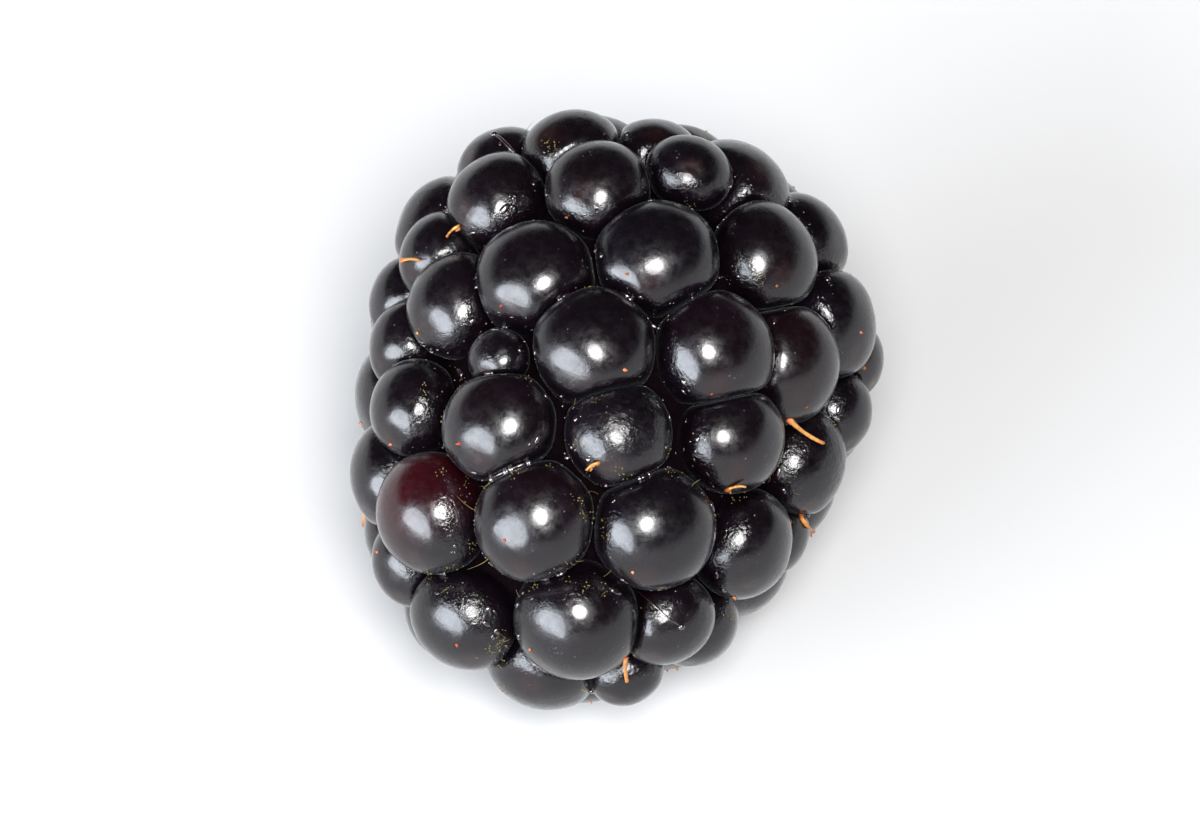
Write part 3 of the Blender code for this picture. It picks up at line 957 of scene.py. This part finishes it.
class Nodes:
    """Short ways to add nodes to a material or world. Scales are per metre, and distances are in metres."""

    COLOUR_A, COLOUR_B, COLOUR_OUT = 6, 7, 2  # the Mix node's colour sockets, which share others' names

    def __init__(self, name, kind="materials", shader="Principled BSDF", coordinates="Object"):
        self.owner = getattr(bpy.data, kind).new(name)
        self.owner.use_nodes = True
        self.tree = self.owner.node_tree
        self.shader = self.tree.nodes[shader]
        self.place = self.add("ShaderNodeTexCoord", {}).outputs[coordinates]

    def put(self, socket, value):
        """Joins a node's output to a socket, or sets the socket to a number or a colour."""
        if isinstance(value, bpy.types.NodeSocket):
            self.tree.links.new(value, socket)
        else:
            socket.default_value = (*value, 1) if isinstance(value, tuple) else value

    def add(self, kind, inputs, **settings):
        node = self.tree.nodes.new(kind)
        for name, value in settings.items():
            setattr(node, name, value)
        for socket, value in inputs.items():
            self.put(node.inputs[socket], value)
        return node

    def surface(self, **values):
        """Puts values on the shader's own sockets, whose names have spaces for the underscores."""
        for name, value in values.items():
            self.put(self.shader.inputs[name.replace("_", " ")], value)
        return self.owner

    def noise(self, scale, detail=3.0, roughness=0.55, distortion=0.0):
        inputs = {"Vector": self.place, "Scale": scale, "Detail": detail}
        inputs |= {"Roughness": roughness, "Distortion": distortion}
        return self.add("ShaderNodeTexNoise", inputs).outputs["Fac"]

    def cells(self, scale):
        inputs = {"Vector": self.place, "Scale": scale}
        return self.add("ShaderNodeTexVoronoi", inputs, feature="F1").outputs["Distance"]

    def value(self, name):
        return self.add("ShaderNodeAttribute", {}, attribute_name=name).outputs["Fac"]

    def maths(self, operation, a, b):
        return self.add("ShaderNodeMath", {0: a, 1: b}, operation=operation).outputs[0]

    def times(self, a, b):
        return self.maths("MULTIPLY", a, b)

    def remap(self, source, low, high, to_low=0.0, to_high=1.0):
        inputs = {"Value": source, "From Min": low, "From Max": high, "To Min": to_low, "To Max": to_high}
        return self.add("ShaderNodeMapRange", inputs, interpolation_type="SMOOTHSTEP").outputs["Result"]

    def mix(self, share, a, b):
        inputs = {"Factor": share, self.COLOUR_A: a, self.COLOUR_B: b}
        return self.add("ShaderNodeMix", inputs, data_type="RGBA").outputs[self.COLOUR_OUT]

    def bump(self, height, distance, below=None):
        inputs = {"Height": height, "Distance": distance, "Strength": 1.0}
        if below:
            inputs["Normal"] = below
        return self.add("ShaderNodeBump", inputs).outputs["Normal"]


def skin_tint(n, blotches, dust):
    """Near black, with violet blotches, brownish and red drupelets, brown scars and pale dust."""
    black, violet = (0.0014, 0.0008, 0.0016), (0.0030, 0.0018, 0.0036)
    brownish, wine_red = (0.0026, 0.0009, 0.0012), (0.019, 0.0012, 0.0024)
    scar_brown, dust_grey = (0.014, 0.004, 0.0035), (0.10, 0.085, 0.07)
    tint = n.mix(n.remap(blotches, 0.35, 0.7), black, violet)
    tint = n.mix(n.times(n.value("own"), 0.4), tint, brownish)
    patchy = n.remap(n.noise(620, detail=2), 0.25, 0.7, 0.65, 1.0)
    tint = n.mix(n.times(n.value("red"), patchy), tint, wine_red)
    tint = n.mix(n.times(n.value("scar"), 0.5), tint, scar_brown)
    return n.mix(n.times(dust, 0.5), tint, dust_grey)


def skin_relief(n, cleft):
    """Soft waves, mottling and fine peel, pits in clefts, puckers where it is dry, and the scar's dimple."""
    crinkled = n.value("crinkled")
    soft = n.bump(n.noise(620, detail=2, roughness=0.4), 0.06 * MM)
    mottled = n.bump(n.noise(2400, detail=3), 0.012 * MM, soft)
    peel = n.bump(n.noise(5200, detail=3), 0.005 * MM, mottled)
    rough_places = n.maths("MAXIMUM", n.remap(cleft, 0.25, 0.95), crinkled)
    pits = n.times(n.noise(5200, detail=3, roughness=0.6), rough_places)
    pitted = n.bump(pits, 0.05 * MM, peel)
    puckered = n.bump(n.times(n.cells(2600), crinkled), 0.045 * MM, pitted)
    return n.bump(n.times(n.value("scar"), -1.0), 0.06 * MM, puckered)


def skin_material():
    n = Nodes("drupelet_skin_ripe")
    cleft = n.value("cleft")
    blotches = n.noise(900, detail=4)
    specks = n.remap(n.cells(3600), 0.10, 0.17, 1.0, 0.0)
    dust = n.times(specks, n.remap(blotches, 0.56, 0.66))
    dry = n.remap(n.noise(2300, detail=4, roughness=0.65), 0.3, 0.7, 0.20, 0.34)
    damp = n.maths("SUBTRACT", dry, n.times(cleft, 0.10))
    return n.surface(
        Base_Color=skin_tint(n, blotches, dust),
        Roughness=n.maths("ADD", damp, n.times(dust, 0.2)),
        Normal=skin_relief(n, cleft),
        IOR=1.46,
        Coat_Weight=0.35,
        Coat_Roughness=0.12,
        Coat_IOR=1.42,
        Sheen_Weight=0.03,
        Sheen_Roughness=0.25,
        Sheen_Tint=(0.85, 0.92, 1.0),
    )


def core_material():
    n = Nodes("fused_bases_flesh_and_painted_shade")
    black, violet = (0.0012, 0.0007, 0.0010), (0.0036, 0.0018, 0.0026)
    mottle = n.noise(2600, detail=5)
    return n.surface(
        Base_Color=n.mix(mottle, black, violet),
        Roughness=n.remap(mottle, 0.3, 0.7, 0.35, 0.6),
        Normal=n.bump(n.noise(5200, detail=4), 0.08 * MM),
        # No specular reflection at all: painted shade, so that the cleft floors show black under the key
        # light. The near-black colour is the drupelets' own.
        Specular_IOR_Level=0.0,
    )


def style_material():
    n = Nodes("dry_style")
    brown, tan = (0.34, 0.13, 0.022), (0.52, 0.27, 0.065)
    rust, dark_end, red_root = (0.26, 0.07, 0.012), (0.20, 0.055, 0.012), (0.34, 0.06, 0.02)
    along = n.value("along")
    streaks = n.noise(5200, detail=4, roughness=0.65)
    tone = n.mix(n.remap(streaks, 0.3, 0.7), brown, tan)
    tone = n.mix(n.times(n.value("own"), 0.5), tone, rust)
    tone = n.mix(n.remap(along, 0.80, 1.0), tone, dark_end)
    tone = n.mix(n.remap(along, 0.16, 0.0), tone, red_root)
    return n.surface(
        Base_Color=tone,
        Roughness=n.remap(streaks, 0.2, 0.8, 0.38, 0.65),
        Normal=n.bump(streaks, 0.02 * MM),
    )


def stub_material():
    n = Nodes("style_stub")
    brown, orange = (0.26, 0.08, 0.015), (0.40, 0.18, 0.045)
    red, dark_top = (0.26, 0.014, 0.012), (0.10, 0.03, 0.01)
    grain = n.noise(9000, detail=3)
    tone = n.mix(n.remap(grain, 0.3, 0.7), brown, orange)
    tone = n.mix(n.value("red"), tone, red)
    tone = n.mix(n.remap(n.value("along"), 0.5, 1.0, 0.0, 0.6), tone, dark_top)
    return n.surface(
        Base_Color=tone,
        Roughness=n.remap(grain, 0.2, 0.8, 0.35, 0.6),
        Normal=n.bump(grain, 0.02 * MM),
    )


def juice_material():
    n = Nodes("berry_juice")
    black, wine_red = (0.003, 0.001, 0.002), (0.010, 0.0015, 0.003)
    return n.surface(
        Base_Color=n.mix(n.value("own"), black, wine_red),
        Roughness=n.remap(n.noise(4000), 0.2, 0.8, 0.15, 0.30),
        IOR=1.7,
        Coat_Weight=1.0,
        Coat_Roughness=0.20,
    )


def dust_material():
    n = Nodes("cleft_dust")
    olive, straw, brown = (0.07, 0.055, 0.012), (0.20, 0.16, 0.03), (0.08, 0.06, 0.02)
    tone = n.mix(n.value("own"), olive, straw)
    return n.surface(
        Base_Color=n.mix(n.remap(n.noise(6000), 0.3, 0.7, 0.0, 0.5), tone, brown),
        Roughness=n.remap(n.noise(7000), 0.2, 0.8, 0.4, 0.6),
    )


def receptacle_material():
    n = Nodes("receptacle_fibre")
    green, pale_green, grain_green = (0.34, 0.31, 0.030), (0.74, 0.71, 0.20), (0.40, 0.40, 0.07)
    amber, pale_rim, dark_middle = (0.42, 0.20, 0.012), (0.80, 0.77, 0.38), (0.26, 0.20, 0.03)
    rim = n.value("rim")
    grain = n.noise(3400, detail=5, roughness=0.7, distortion=0.8)
    patches = n.noise(1100, detail=3)
    tone = n.mix(n.remap(n.value("streak"), 0.1, 0.9), green, pale_green)
    tone = n.mix(n.remap(grain, 0.35, 0.65, 0.0, 0.5), tone, grain_green)
    tone = n.mix(n.remap(patches, 0.52, 0.66, 0.0, 0.8), tone, amber)
    tone = n.mix(n.remap(rim, 0.80, 0.92, 0.0, 0.6), tone, pale_rim)
    tone = n.mix(n.remap(rim, 0.25, 0.0, 0.0, 0.6), tone, dark_middle)
    return n.surface(
        Base_Color=tone,
        Roughness=n.remap(grain, 0.2, 0.8, 0.28, 0.55),
        Normal=n.bump(grain, 0.10 * MM),
        Coat_Weight=0.4,
        Coat_Roughness=0.2,
    )


def floor_material():
    n = Nodes("pale_floor")
    grey, light_grey = (0.43, 0.432, 0.435), (0.445, 0.447, 0.45)
    return n.surface(Base_Color=n.mix(n.noise(14, detail=2), grey, light_grey), Roughness=0.85)


# ---------------- stage

def turned_to(name, data, back):
    """Links an object that looks or shines the opposite way of back."""
    obj = bpy.data.objects.new(name, data)
    obj.rotation_mode = "QUATERNION"
    obj.rotation_quaternion = (-back).to_track_quat("-Z", "Y")
    bpy.context.scene.collection.objects.link(obj)
    return obj


def add_sun(name, way, angle, strength, colour):
    """Even light from the direction way, which shows in a gloss as a disc angle degrees across."""
    light = bpy.data.lights.new(name, "SUN")
    light.angle = math.radians(angle)
    light.energy = strength
    light.color = colour
    turned_to(name, light, way)


def build_world():
    """A room that is bright round the horizon and dark overhead."""
    n = Nodes("studio", "worlds", "Background", "Generated")
    height = n.add("ShaderNodeSeparateXYZ", {"Vector": n.place}).outputs["Z"]
    (low, bright), (high, dim) = WORLD_HORIZON, WORLD_OVERHEAD
    fade = n.remap(height, low, high, bright, dim)
    bpy.context.scene.world = n.surface(Color=WORLD_COLOUR, Strength=fade)


def build_floor():
    mesh = bpy.data.meshes.new("floor")
    corners = [(x * FLOOR_HALF, y * FLOOR_HALF, 0) for x, y in ((-1, -1), (1, -1), (1, 1), (-1, 1))]
    mesh.from_pydata(corners, [], [(0, 1, 2, 3)])
    mesh.materials.append(floor_material())
    floor = bpy.data.objects.new("floor", mesh)
    bpy.context.scene.collection.objects.link(floor)
    floor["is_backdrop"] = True


def build_stage():
    """The floor, lights and camera, round the berry as FACE_VIEW shows it."""
    build_floor()
    low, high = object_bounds()
    right, up, back = posed_view(FACE_VIEW)
    for name, (rightward, upward, backward), angle, strength, colour in SUNS:
        way = (backward * back + rightward * right + upward * up).normalized()
        add_sun(name, way, angle, strength, colour)
    build_world()
    bpy.context.scene.view_settings.view_transform = "Standard"

    camera = bpy.data.cameras.new("camera")
    camera.lens = LENS
    camera.sensor_width = SENSOR_WIDTH
    obj = turned_to("camera", camera, back)
    obj.location = (low + high) / 2 + CAMERA_DISTANCE * back
    bpy.context.scene.camera = obj


def main():
    lobes = [(POSE @ centre, TURN @ outward, radius) for centre, outward, radius in drupelets()]
    shapes, ball_faces = build_skins(lobes, skin_material())
    core = build_core(core_material())
    tree = skins_tree(shapes, ball_faces, core)
    build_styles(tree, style_material())
    build_stubs(tree, lobes, stub_material())
    build_juice(tree, lobes, juice_material())
    build_dust(tree, dust_material())
    build_receptacle(receptacle_material())
    build_stage()


main()
